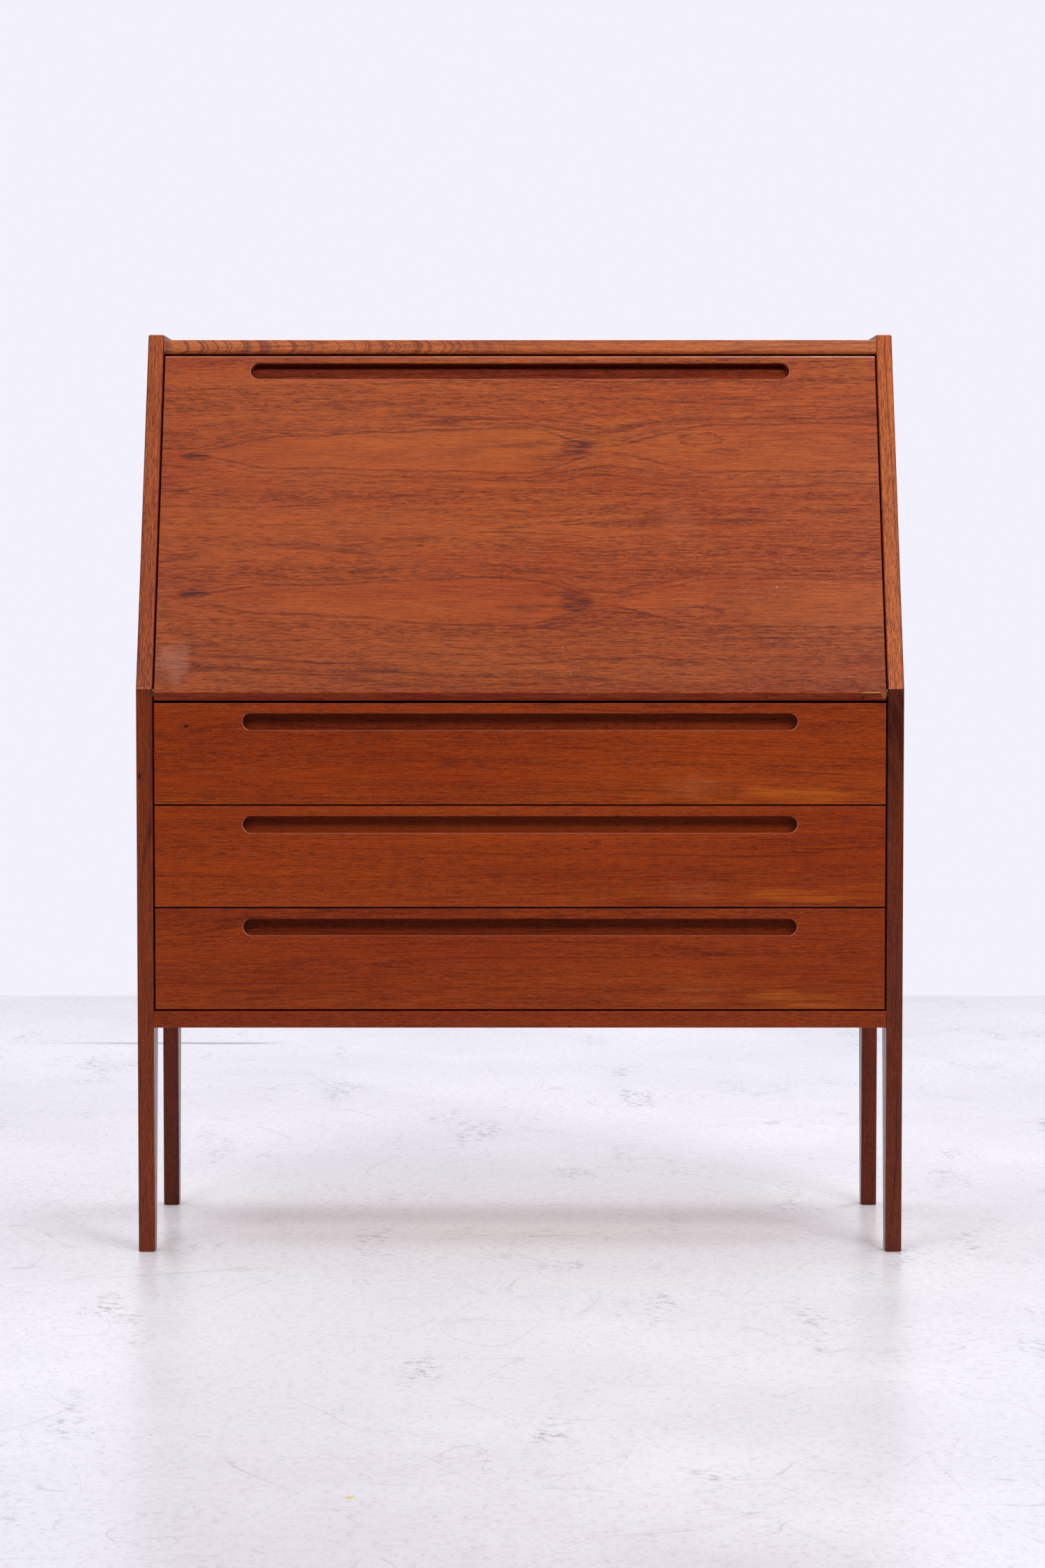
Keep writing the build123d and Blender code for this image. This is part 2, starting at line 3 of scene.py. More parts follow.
import bpy
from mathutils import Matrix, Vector

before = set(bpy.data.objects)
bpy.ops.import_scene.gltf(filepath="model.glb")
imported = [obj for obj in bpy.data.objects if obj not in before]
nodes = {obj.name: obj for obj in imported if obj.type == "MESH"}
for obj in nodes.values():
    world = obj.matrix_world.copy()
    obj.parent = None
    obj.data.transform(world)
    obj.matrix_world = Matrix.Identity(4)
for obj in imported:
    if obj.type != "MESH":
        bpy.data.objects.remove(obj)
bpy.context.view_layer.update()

scene = bpy.context.scene

# Places on the desk, in metres. The sides' front edges are upright up to the knee, and lean back above it.
SIDE_FRONT = -0.218
KNEE = 0.727
LEAN_BACK, LEAN_UP = 0.211, 0.462
SLANT = math.atan2(LEAN_BACK, LEAN_UP)
SLANT_COS, SLANT_SIN = math.cos(SLANT), math.sin(SLANT)
DRAWER_FACE = SIDE_FRONT + 0.0007
DRAWER_LOW = {1: 0.5787, 2: 0.44665, 3: 0.3146}
POST_MIDDLE = 0.482
POST_ROUND_FROM, POST_ROUND_TO = 0.0085, 0.0100
# Faces on the slanted front, as distances measured square to it.
POST_FACE = SIDE_FRONT * SLANT_COS - KNEE * SLANT_SIN
FLAP_FACE = POST_FACE + 0.0025
FLAP_MIDDLE_HEIGHT = 0.9365
FLAP_TOP = 1.1594
LIP_TOP = 0.7226
LIP_MATT_BELOW = LIP_TOP + 0.0002
# The top board's slanted front edge: its lower end (y, z), and the height that its growth rings curve about.
TOP_EDGE_Y, TOP_EDGE_Z = -0.0155, 1.162
TOP_EDGE_MIDDLE = 1.1725
# Finger slots, with how far the painted highlight on their rims reaches past them.
SLOT_HALF_LENGTH = 0.3585
SLOT_DEPTH = 0.0150
SLOT_RIM = 0.0018
SLOT_SOFT = 0.0004


def linear(r, g, b):
    """An 8-bit sRGB colour as linear RGBA."""
    def channel(v):
        v = v / 255
        return v / 12.92 if v <= 0.04045 else ((v + 0.055) / 1.055) ** 2.4
    return (channel(r), channel(g), channel(b), 1.0)


# ---------------------------------------------------------------- node building
class Tree:
    """A material's node tree, with short calls for its nodes. Values are numbers or node sockets."""

    def __init__(self, name):
        self.material = bpy.data.materials.new(name)
        self.material.use_nodes = True
        self.tree = self.material.node_tree
        self.tree.nodes.clear()
        self.output = self.tree.nodes.new("ShaderNodeOutputMaterial")
        self.shader = self.tree.nodes.new("ShaderNodeBsdfPrincipled")
        self.tree.links.new(self.shader.outputs["BSDF"], self.output.inputs["Surface"])

    def put(self, socket, value):
        if isinstance(value, bpy.types.NodeSocket):
            self.tree.links.new(value, socket)
        else:
            socket.default_value = value

    def node(self, kind, **settings):
        made = self.tree.nodes.new(kind)
        for key, value in settings.items():
            setattr(made, key, value)
        return made

    def coords(self):
        """The object's own coordinates, which are metres in the row's frame for every CAD node."""
        return self.node("ShaderNodeTexCoord").outputs["Object"]

    def axes(self, vector):
        split = self.node("ShaderNodeSeparateXYZ")
        self.put(split.inputs[0], vector)
        return split.outputs[0], split.outputs[1], split.outputs[2]

    def vec(self, x, y, z):
        made = self.node("ShaderNodeCombineXYZ")
        for socket, value in zip(made.inputs, (x, y, z)):
            self.put(socket, value)
        return made.outputs[0]

    def math(self, operation, *values):
        made = self.node("ShaderNodeMath", operation=operation)
        for socket, value in zip(made.inputs, values):
            self.put(socket, value)
        return made.outputs[0]

    def add(self, a, b):
        return self.math("ADD", a, b)

    def sub(self, a, b):
        return self.math("SUBTRACT", a, b)

    def mul(self, a, b):
        return self.math("MULTIPLY", a, b)

    def max(self, a, b):
        return self.math("MAXIMUM", a, b)

    def abs(self, a):
        return self.math("ABSOLUTE", a)

    def noise(self, vector, scale, detail, rough, distortion=0.0):
        made = self.node("ShaderNodeTexNoise", noise_dimensions="3D")
        for key, value in (("Vector", vector), ("Scale", scale), ("Detail", detail), ("Roughness", rough),
                           ("Distortion", distortion)):
            self.put(made.inputs[key], value)
        return made.outputs["Fac"]

    def texture(self, parts, detail, rough, distortion=0.0):
        """Noise over three coordinates, each a (value, scale) pair or a plain number."""
        scaled = [self.mul(*part) if isinstance(part, tuple) else part for part in parts]
        return self.noise(self.vec(*scaled), 1.0, detail, rough, distortion)

    def sway(self, noise, amount):
        """Noise centred on zero, times amount."""
        return self.mul(self.sub(noise, 0.5), amount)

    def ramp(self, value, low, high, to_low=0.0, to_high=1.0, smooth=True):
        made = self.node(
            "ShaderNodeMapRange", interpolation_type="SMOOTHSTEP" if smooth else "LINEAR", clamp=True
        )
        for key, number in (("Value", value), ("From Min", low), ("From Max", high), ("To Min", to_low),
                            ("To Max", to_high)):
            self.put(made.inputs[key], number)
        return made.outputs["Result"]

    def band(self, value, rise_from, rise_to, fall_from, fall_to):
        """One between rise_to and fall_to, and zero outside rise_from and fall_from."""
        return self.mul(self.ramp(value, rise_from, rise_to), self.ramp(value, fall_from, fall_to))

    def reach(self, *terms):
        """Squared distance from a centre, one on the ellipse. A term is (coordinate, centre, half size)."""
        total = None
        for value, centre, half in terms:
            part = self.mul(self.sub(value, centre), 1.0 / half)
            square = self.mul(part, part)
            total = square if total is None else self.add(total, square)
        return total

    def mix(self, factor, a, b, blend="MIX"):
        made = self.node("ShaderNodeMix", data_type="RGBA", blend_type=blend, clamp_factor=True)
        self.put(made.inputs[0], factor)
        self.put(made.inputs[6], a)
        self.put(made.inputs[7], b)
        return made.outputs[2]

    def tint(self, colour, r, g, b):
        return self.mix(1.0, colour, (r, g, b, 1.0), "MULTIPLY")

    def lean(self, y, z):
        """Distances up the slanted front and square to it."""
        up = self.add(self.mul(z, SLANT_COS), self.mul(y, SLANT_SIN))
        through = self.sub(self.mul(y, SLANT_COS), self.mul(z, SLANT_SIN))
        return up, through

    def bump(self, height, strength, distance):
        made = self.node("ShaderNodeBump")
        made.inputs["Strength"].default_value = strength
        made.inputs["Distance"].default_value = distance
        self.put(made.inputs["Height"], height)
        self.put(self.shader.inputs["Normal"], made.outputs["Normal"])


# ---------------------------------------------------------------- wood
# Noise cells to a metre across the grain. A dash is dash_length times as long as a cell is wide.
FIBRE_DENSITY = 950.0
PORE_DEPTH = 0.00016


def long_way(t, coords, along, seed):
    """Coordinates (along the grain, across it, through it), moved by seed so each board differs."""
    x, y, z = t.axes(coords)
    if along == "x":
        u, v, w = x, z, y
    elif along == "z":
        u, v, w = z, y, x
    elif along == "y":
        u, v, w = y, x, z
    elif along == "flap":
        u, (v, w) = x, t.lean(y, z)
    elif along == "slant":
        (u, v), w = t.lean(y, z), x
    return t.add(u, seed * 3.7), t.add(v, seed * 1.9), t.mul(t.add(w, seed * 0.73), 2.4)


def shade_slot(t, coords, colour, along, slot):
    """Paints shade inside a finger slot, darker towards its top, and paints a highlight on its rim.
    Returns the colour, and how deep inside the slot a point is, from zero to one."""
    x, y, z = t.axes(coords)
    slanted = along == "flap"
    height, square = t.lean(y, z) if slanted else (z, y)
    depth = t.sub(square, slot["face"])
    bottom, top = slot["bottom"], slot["top"]
    window = t.band(height, bottom - SLOT_RIM - SLOT_SOFT, bottom - SLOT_RIM,
                    top + SLOT_RIM + SLOT_SOFT, top + SLOT_RIM)
    window = t.mul(window, t.ramp(t.abs(x), SLOT_HALF_LENGTH + 0.0005, SLOT_HALF_LENGTH))
    window = t.mul(window, t.ramp(depth, SLOT_DEPTH + 0.0010, SLOT_DEPTH))
    sunk = t.mul(t.ramp(depth, 0.002, 0.010), window)
    inside = t.ramp(depth, 0.0010, 0.0035)
    shade = t.mul(inside, t.ramp(height, *slot["shade_heights"], *slot["shade_strengths"]))
    # Inside the flap's slot the wood is painted redder and darker, as shade.
    if slanted:
        colour = t.mix(t.mul(inside, window), colour, t.tint(colour, 1.0, 0.70, 0.74))
    # Painted shade inside the slot, darker towards its top.
    colour = t.mix(t.mul(shade, window), colour, linear(40, 5, 2))
    # The pale pink line on the rounded rim is a painted highlight, strongest low down and at the ends.
    rim = t.band(depth, 0.0001, 0.0005, 0.0019, 0.0011)
    low_side = t.ramp(height, top, bottom)
    ends = t.ramp(t.abs(x), 0.3470, 0.3545)
    shine = t.add(t.mul(low_side, slot["rim_shine"]), t.mul(ends, t.add(0.25, t.mul(low_side, 0.40))))
    return t.mix(t.mul(t.mul(rim, shine), window), colour, linear(222, 158, 140)), sunk


def teak(name, along, seed, tones, dash=1.0, ring=1.0, gloss=0.34, specular=0.30, relief=0.22,
         dash_length=15.0, fine=1.0, painted_sheen=0.0, flecks=0.0,
         figure=None, slot=None, extra=None, matt_below=None):
    """Oiled teak: growth zones, dashes of dark pores, long fibres, colour drift along the board, and pale
    glints along the fibres that are painted sheen.
    figure redraws the grain line, slot paints shade and a rim highlight in a finger slot, and extra adds
    marks to the colour."""
    dark, mid, light = tones
    t = Tree(name)
    coords = t.coords()
    u, v, w = long_way(t, coords, along, seed)

    drift = t.texture(((u, 0.9), (v, 3.0), (w, 3.0)), 2.0, 0.5)
    waver = t.texture(((u, 6.0), (v, 14.0), (w, 6.0)), 3.0, 0.55)
    line = t.add(t.add(v, t.sway(drift, 0.030)), t.sway(waver, 0.0045))
    across = line
    if figure is not None:
        across, smooth, blot, outline = figure(t, coords, line)

    zone = t.texture(((u, 0.8), (across, 46.0), (w, 20.0)), 3.0, 0.6)
    broad = t.texture(((u, 1.4), (line, 9.0), (w, 6.0)), 3.0, 0.55)
    growth = t.texture(((u, 1.1), (across, 24.0), (w, 9.0)), 1.0, 0.5)
    fibre = t.texture(((u, 16.0), (line, FIBRE_DENSITY * fine), (w, 400.0)), 1.0, 0.5)
    thread = t.texture(((u, 5.0), (across, 560.0), (w, 200.0)), 2.0, 0.6)
    dashes = FIBRE_DENSITY / dash_length
    long_dash = t.texture(((u, dashes), (line, FIBRE_DENSITY * fine), (w, 300.0)), 1.0, 0.5)
    short_dash = t.texture(((u, 2 * dashes), (line, 1250.0 * fine), (w, 500.0)), 0.0, 0.5)
    glint = t.texture(((u, 230.0), (line, 1150.0), (w, 300.0)), 0.0, 0.5)

    porous = t.ramp(zone, 0.36, 0.62, 0.50, 1.0)
    if figure is not None:
        porous = t.mul(porous, t.sub(1.0, t.mul(smooth, 0.48)))
    strokes = t.mul(t.ramp(long_dash, 0.535, 0.585), porous)
    pricks = t.mul(t.ramp(short_dash, 0.58, 0.635), porous)
    rings = t.mul(t.ramp(t.abs(t.sub(growth, 0.5)), 0.015, 0.003), t.ramp(thread, 0.34, 0.60))
    if figure is not None:
        rings = t.mul(rings, t.sub(1.0, t.mul(smooth, 0.85)))
        rings = t.max(rings, t.mul(outline, t.ramp(long_dash, 0.36, 0.56, 0.35, 1.0)))

    deep = tuple(0.42 * c for c in dark[:3]) + (1.0,)
    colour = t.mix(t.ramp(broad, 0.32, 0.68), mid, light)
    colour = t.mix(t.mul(t.ramp(zone, 0.42, 0.70), 0.20 * ring), colour, dark)
    colour = t.mix(t.mul(t.ramp(thread, 0.40, 0.66), 0.22 * ring), colour, dark)
    colour = t.mix(t.mul(t.ramp(fibre, 0.48, 0.38), 0.60 * dash), colour, light)
    colour = t.mix(t.mul(t.ramp(fibre, 0.50, 0.62), 0.26 * dash), colour, dark)
    colour = t.mix(t.mul(rings, 0.70 * ring), colour, dark)
    colour = t.mix(t.mul(strokes, 0.60 * dash), colour, dark)
    colour = t.mix(t.mul(pricks, 0.54 * dash), colour, deep)
    # Pale glints along the fibres are painted sheen.
    colour = t.mix(t.mul(t.ramp(glint, 0.50, 0.74), 0.065 * dash), colour, linear(224, 148, 104))
    if figure is not None:
        colour = t.mix(t.mul(t.mul(blot, t.ramp(long_dash, 0.32, 0.58)), 0.85), colour, linear(62, 14, 12))
    # Cloudy pale patches, painted on as sheen.
    if painted_sheen:
        cloud = t.texture(((u, 2.2), (v, 3.4), w), 3.0, 0.6)
        colour = t.mix(t.mul(t.ramp(cloud, 0.45, 0.75), painted_sheen), colour, linear(206, 150, 120))
    if flecks:
        speck = t.noise(coords, 420.0, 1.0, 0.5)
        sparse = t.noise(coords, 9.0, 2.0, 0.5)
        fleck = t.mul(t.ramp(speck, 0.74, 0.78), t.ramp(sparse, 0.55, 0.70))
        colour = t.mix(t.mul(fleck, flecks), colour, linear(222, 190, 176))
    if extra is not None:
        colour = extra(t, coords, colour, fibre)

    rough = t.add(t.add(gloss, t.sway(fibre, 0.14)), t.mul(pricks, 0.22))
    if slot is not None:
        colour, sunk = shade_slot(t, coords, colour, along, slot)
        rough = t.add(rough, t.mul(sunk, 0.40))
    if matt_below is not None:
        _, _, z = t.axes(coords)
        rough = t.add(rough, t.mul(t.ramp(z, matt_below + 0.0015, matt_below), 0.35))
    t.put(t.shader.inputs["Base Color"], colour)
    t.put(t.shader.inputs["Roughness"], rough)
    t.shader.inputs["Specular IOR Level"].default_value = specular
    t.bump(t.sub(t.mul(fibre, 0.4), t.add(t.mul(strokes, 0.5), pricks)), relief, PORE_DEPTH)
    return t.material


def plain_wood(name, along, seed, tones, gloss=0.55):
    """Unoiled wood with a weaker grain, for drawer boxes, runners, the back and the bottoms."""
    return teak(name, along, seed, tones, dash=0.6, ring=0.7, gloss=gloss)


# ---------------------------------------------------------------- marks on single boards
def flap_figure(t, coords, line):
    """Two veneer leaves mirrored about the flap's middle. Each has a smooth tongue of early wood that starts
    at a dark crotch on the left and widens to the right, a second one further along, and one closed eye.
    Returns the grain line's number, how smooth the wood is, how dark the crotch marks are, and the edges of
    the tongues and the eye."""
    x, _, z = t.axes(coords)
    jitter = t.texture(((x, 7.0), (z, 24.0), 0.0), 4.0, 0.65)
    rise = t.mul(t.sub(z, FLAP_MIDDLE_HEIGHT), 1.0 / SLANT_COS)
    leaf = t.add(t.abs(rise), t.sway(jitter, 0.016))
    off = t.sub(leaf, t.ramp(x, -0.45, 0.45, 0.104, 0.112, smooth=False))

    first_end = (0.13, 0.0)
    first = t.mul(t.ramp(x, -0.452, -0.32, 0.0, 0.021), t.ramp(x, *first_end))
    first = t.add(first, t.mul(t.ramp(x, -0.34, -0.02, 0.0, 0.011), t.ramp(x, *first_end)))
    second = t.ramp(x, 0.075, 0.26, 0.0, 0.034)
    half = t.add(first, second)
    distance = t.abs(off)
    spread = t.math("EXPONENT", t.mul(distance, -18.0))
    outside = t.max(t.sub(distance, t.mul(half, spread)), 0.0)
    inset = t.sub(distance, half)
    smooth = t.ramp(inset, 0.003, -0.005)
    present = t.ramp(half, 0.002, 0.010)
    edge = t.mul(t.ramp(t.abs(inset), 0.0024, 0.0005), present)
    beyond = t.mul(t.ramp(t.abs(t.sub(inset, 0.0075)), 0.0018, 0.0004), t.mul(present, 0.55))
    edge = t.max(edge, beyond)

    eye = t.math("SQRT", t.reach((x, 0.237, 0.050), (off, 0.014, 0.016)))
    ragged = t.texture(((x, 60.0), (z, 110.0), 0.0), 3.0, 0.65)
    eye = t.add(eye, t.sway(ragged, 0.9))
    lid = t.ramp(t.abs(t.sub(eye, 0.52)), 0.13, 0.03)
    edge = t.max(edge, lid)
    near_eye = t.ramp(eye, 1.5, 0.5)
    lines = t.add(outside, t.mul(near_eye, t.sub(t.mul(eye, 0.011), outside)))
    number = t.add(t.mul(lines, t.math("SIGN", off)), t.mul(t.math("SIGN", rise), 0.37))
    number = t.add(number, t.mul(t.sub(line, z), 0.5))

    def crotch(at_x, at_off, long_x, high):
        return t.ramp(t.reach((x, at_x, long_x), (off, at_off, high)), 1.0, 0.15)

    marks = t.max(crotch(-0.424, -0.006, 0.026, 0.008), crotch(0.072, 0.003, 0.028, 0.017))
    for place, strength in (((0.02, 0.008, 0.06, 0.006), 0.6), ((0.05, -0.010, 0.05, 0.007), 0.6),
                            ((0.262, -0.004, 0.03, 0.006), 0.5)):
        marks = t.max(marks, t.mul(crotch(*place), strength))
    return number, smooth, marks, edge


def flap_edges(t, coords, colour, fibre):
    """The solid lip under the flap is darker, and its arris is rubbed yellow and carries a painted highlight
    that grows towards the right. The flap's top arris carries a painted highlight, stronger to the right.
    The flap is redder to the left and dimmer low down, and carries two faint pale patches of painted sheen."""
    x, _, z = t.axes(coords)
    wear_and_glint = t.texture(((x, 30.0), (z, 90.0), 0.0), 3.0, 0.6)
    colour = t.mix(t.ramp(x, 0.30, -0.42), colour, t.tint(colour, 0.90, 0.78, 0.72))
    colour = t.mix(t.ramp(z, 0.86, 0.74), colour, t.tint(colour, 0.88, 0.87, 0.86))
    lip = t.ramp(z, LIP_TOP, LIP_TOP - 0.0009)
    colour = t.mix(t.mul(lip, t.ramp(fibre, 0.35, 0.62, 0.58, 0.92)), colour, linear(100, 22, 2))

    # The lip's arris is partly rubbed and partly a painted highlight, which grows towards the right.
    arris = t.band(z, LIP_TOP - 0.0010, LIP_TOP - 0.0004, LIP_TOP + 0.0006, LIP_TOP)
    worn = t.mul(t.ramp(wear_and_glint, 0.44, 0.66, 0.0, 0.40), t.ramp(x, -0.05, 0.25, 0.15, 1.0))
    colour = t.mix(t.mul(arris, worn), colour, linear(200, 132, 92))
    bright = t.mul(t.band(x, 0.4300, 0.4480, 0.4625, 0.4600),
                   t.band(z, LIP_TOP - 0.0008, LIP_TOP - 0.0002, LIP_TOP + 0.0008, LIP_TOP + 0.0003))
    colour = t.mix(t.mul(bright, 0.85), colour, linear(222, 168, 84))
    chip = t.ramp(t.sub(x, t.mul(t.sub(LIP_TOP - 0.0001, z), 0.6)), 0.4600, 0.4620)
    chip = t.mul(chip, t.band(z, LIP_TOP - 0.0081, LIP_TOP - 0.0061, LIP_TOP + 0.0006, LIP_TOP))
    colour = t.mix(t.mul(chip, 0.55), colour, linear(176, 104, 46))
    # The top arris is lit with a painted highlight, stronger to the right.
    top_arris_highlight = t.mul(t.ramp(z, FLAP_TOP - 0.0009, FLAP_TOP), t.ramp(wear_and_glint, 0.30, 0.60, 0.6, 1.0))
    colour = t.mix(t.mul(top_arris_highlight, t.ramp(x, 0.10, 0.40, 0.25, 0.85)), colour, linear(236, 196, 184))
    for spot_x, strength in ((0.4393, 0.8), (0.3152, 0.5)):
        spot = t.ramp(t.reach((x, spot_x, 0.0036), (z, LIP_TOP - 0.0068, 0.0030)), 1.0, 0.1)
        colour = t.mix(t.mul(t.mul(spot, lip), strength), colour, linear(50, 12, 6))

    cloud = t.texture(((x, 40.0), 0.0, (z, 40.0)), 3.0, 0.6)
    # Two faint pale pinkish patches, painted on as sheen.
    for at_x, at_z, wide, high, strength, shade in (
        (-0.447, 0.763, 0.030, 0.030, 0.38, linear(194, 134, 114)),
        (0.205, 0.946, 0.026, 0.034, 0.12, linear(208, 128, 90)),
    ):
        reach = t.add(t.reach((x, at_x, wide), (z, at_z, high)), t.sway(cloud, 3.0))
        stain = t.mul(t.ramp(reach, 1.2, -0.4), t.ramp(fibre, 0.62, 0.40, 0.45, 1.0))
        colour = t.mix(t.mul(stain, strength), colour, shade)
    return colour


def drawer_marks(number):
    """Golden streaks and a pale patch low on the right of a drawer front. The top drawer has one small dark
    knot, and the bottom one is a little darker."""
    low = DRAWER_LOW[number]
    streak_x = 0.355 if number == 2 else 0.36

    def marks(t, coords, colour, fibre):
        x, _, z = t.axes(coords)
        wave = t.texture(((x, 7.0), (z, 90.0), number * 2.0), 3.0, 0.6)
        middle = t.add(low + 0.013, t.mul(t.sub(x, 0.36), -0.06))
        lens = t.ramp(t.reach((x, streak_x, 0.085), (z, middle, 0.013)), 1.0, 0.0)
        broad = t.mul(t.ramp(x, -0.30, 0.40, 0.45, 1.0), t.ramp(z, low + 0.075, low + 0.004, 0.0, 0.48))
        gold = t.mul(t.add(lens, broad), t.ramp(wave, 0.36, 0.60, 0.25, 1.0))
        colour = t.mix(t.mul(gold, t.ramp(fibre, 0.60, 0.42, 0.16, 0.48)), colour, linear(194, 100, 24))
        ragged = t.sway(t.texture(((x, 60.0), (z, 90.0), 0.0), 3.0, 0.65), 3.0)
        pale = t.ramp(t.add(t.reach((x, 0.222, 0.045), (z, low + 0.022, 0.020)), ragged), 1.1, -0.3)
        colour = t.mix(t.mul(pale, t.ramp(fibre, 0.60, 0.42, 0.05, 0.17)), colour, linear(206, 122, 78))
        if number == 3:
            colour = t.tint(colour, 0.90, 0.88, 0.86)
        if number == 1:
            knot = t.ramp(t.reach((x, -0.428, 0.0045), (z, low + 0.1004, 0.0028)), 1.0, 0.1)
            colour = t.mix(t.mul(knot, 0.85), colour, linear(30, 8, 2))
        return colour
    return marks


def leg_marks(hand):
    """The right leg darkens in streaks towards its top, and the left one has a small dark knot."""
    def marks(t, coords, colour, fibre):
        x, y, z = t.axes(coords)
        if hand == "left":
            knot = t.ramp(t.reach((x, -0.4884, 0.0030), (z, 0.6150, 0.0055)), 1.0, 0.1)
            return t.mix(t.mul(knot, 0.75), colour, linear(44, 12, 6))
        swirl = t.texture(((t.add(x, t.mul(z, 0.35)), 130.0), (y, 30.0), (z, 16.0)), 3.0, 0.6)
        streaks = t.mul(t.ramp(swirl, 0.38, 0.62, 0.15, 0.75), t.ramp(z, 0.52, 0.70))
        return t.mix(t.mul(streaks, t.ramp(y, -0.2135, -0.2165)), colour, linear(44, 8, 4))
    return marks


def post_sides(t, coords, colour, fibre):
    """Only the slanted front face of a post is bleached by light. Its sides match the panel that they join,
    and the arris at the knee, where the slant starts, is rubbed pale and carries a painted highlight."""
    x, y, z = t.axes(coords)
    _, square = t.lean(y, z)
    depth = t.sub(square, POST_FACE)
    inside = t.ramp(t.abs(x), POST_MIDDLE - POST_ROUND_TO, POST_MIDDLE - POST_ROUND_FROM, 1.0, 0.0)
    outside = t.ramp(t.abs(x), POST_MIDDLE + POST_ROUND_FROM, POST_MIDDLE + POST_ROUND_TO)
    sides = t.max(t.ramp(depth, 0.0015, 0.0040), t.max(inside, outside))
    wear_and_glint = t.noise(coords, 240.0, 2.0, 0.6)
    # The arris at the knee is partly rubbed and partly a painted highlight.
    arris = t.mul(t.ramp(z, 0.7300, 0.7278), t.ramp(wear_and_glint, 0.48, 0.66, 0.05, 0.60))
    rubbed = t.mix(arris, colour, linear(228, 176, 156))
    return t.mix(sides, rubbed, t.tint(colour, 0.58, 0.50, 0.62))


def top_arcs(t, coords, colour, fibre):
    """The front edge of the top board is cut through curved growth rings towards its left end. Its rounded
    lower edge is darkened with painted shade.
    """
    x, y, z = t.axes(coords)
    dz = t.sub(z, TOP_EDGE_MIDDLE)
    run = t.add(x, t.mul(t.mul(dz, dz), 85.0))
    run = t.add(run, t.sway(t.texture(((x, 20.0), 0.0, (z, 60.0)), 2.0, 0.5), 0.010))
    run = t.add(run, t.sway(t.texture(((x, 90.0), 0.0, (z, 420.0)), 2.0, 0.6), 0.0050))
    wave = t.texture(((run, 50.0), 0.0, 0.0), 2.0, 0.6)
    thin = t.ramp(t.abs(t.sub(wave, 0.5)), 0.036, 0.008)
    soft = t.ramp(wave, 0.40, 0.62)
    behind = t.sub(t.sub(y, TOP_EDGE_Y), t.mul(t.sub(z, TOP_EDGE_Z), math.tan(SLANT)))
    where = t.mul(t.ramp(x, 0.06, -0.16), t.ramp(behind, 0.0035, 0.0010))
    colour = t.mix(t.mul(t.mul(soft, where), 0.10), colour, linear(110, 40, 10))
    colour = t.mix(t.mul(t.mul(thin, where), 0.66), colour, linear(88, 24, 8))
    # Painted shade along the rounded lower edge and the front of the underside.
    shade_under_edge = t.mul(t.ramp(z, 1.1665, 1.1630), t.ramp(y, 0.02, 0.0))
    return t.mix(t.mul(shade_under_edge, 0.45), colour, linear(70, 18, 4))


# ---------------------------------------------------------------- metal
def metal(name, colour, rough, stain):
    """Satin metal with cloudy stains and fine scratches."""
    t = Tree(name)
    coords = t.coords()
    cloud = t.noise(coords, 90.0, 4.0, 0.6)
    scratch = t.texture(tuple(zip(t.axes(coords), (900.0, 60.0, 900.0))), 2.0, 0.5)
    base = t.mix(t.mul(t.ramp(cloud, 0.40, 0.75), 0.6), colour, stain)
    t.put(t.shader.inputs["Base Color"], base)
    t.shader.inputs["Metallic"].default_value = 1.0
    t.put(t.shader.inputs["Roughness"], t.add(rough, t.sway(scratch, 0.2)))
    t.bump(scratch, 0.15, 0.0001)
    return t.material


# ---------------------------------------------------------------- a material for each CAD node
def wood_tones(*colours):
    """Dark, middle and light wood colours from 8-bit sRGB."""
    return tuple(linear(*colour) for colour in colours)


FLAP_TONES = wood_tones((92, 22, 6), (163, 64, 10), (184, 92, 34))
DRAWER_TONES = wood_tones((88, 19, 1), (149, 50, 4), (166, 65, 10))
SIDE_TONES = wood_tones((66, 16, 4), (116, 42, 14), (138, 58, 24))
TOP_TONES = wood_tones((100, 30, 8), (170, 74, 20), (198, 104, 36))
RAIL_TONES = wood_tones((84, 20, 3), (140, 47, 9), (156, 62, 18))
OAK_TONES = wood_tones((154, 100, 56), (208, 158, 106), (224, 182, 134))
PLY_TONES = wood_tones((128, 76, 44), (178, 122, 78), (198, 146, 100))
LEG_TONES = {"left": SIDE_TONES, "right": wood_tones((54, 12, 3), (98, 34, 12), (118, 48, 20))}
REAR_TONES = {"left": wood_tones((52, 12, 3), (92, 32, 11), (110, 44, 18)),
              "right": wood_tones((60, 14, 4), (108, 38, 12), (128, 52, 20))}
POST_TONES = {"left": wood_tones((88, 20, 5), (158, 66, 18), (178, 92, 40)),
              "right": wood_tones((104, 28, 5), (178, 78, 18), (196, 102, 40))}


def give(material, *names):
    for node_name in names:
        mesh = nodes[node_name].data
        mesh.materials.clear()
        mesh.materials.append(material)


def named(test):
    return [name for name in nodes if test(name)]


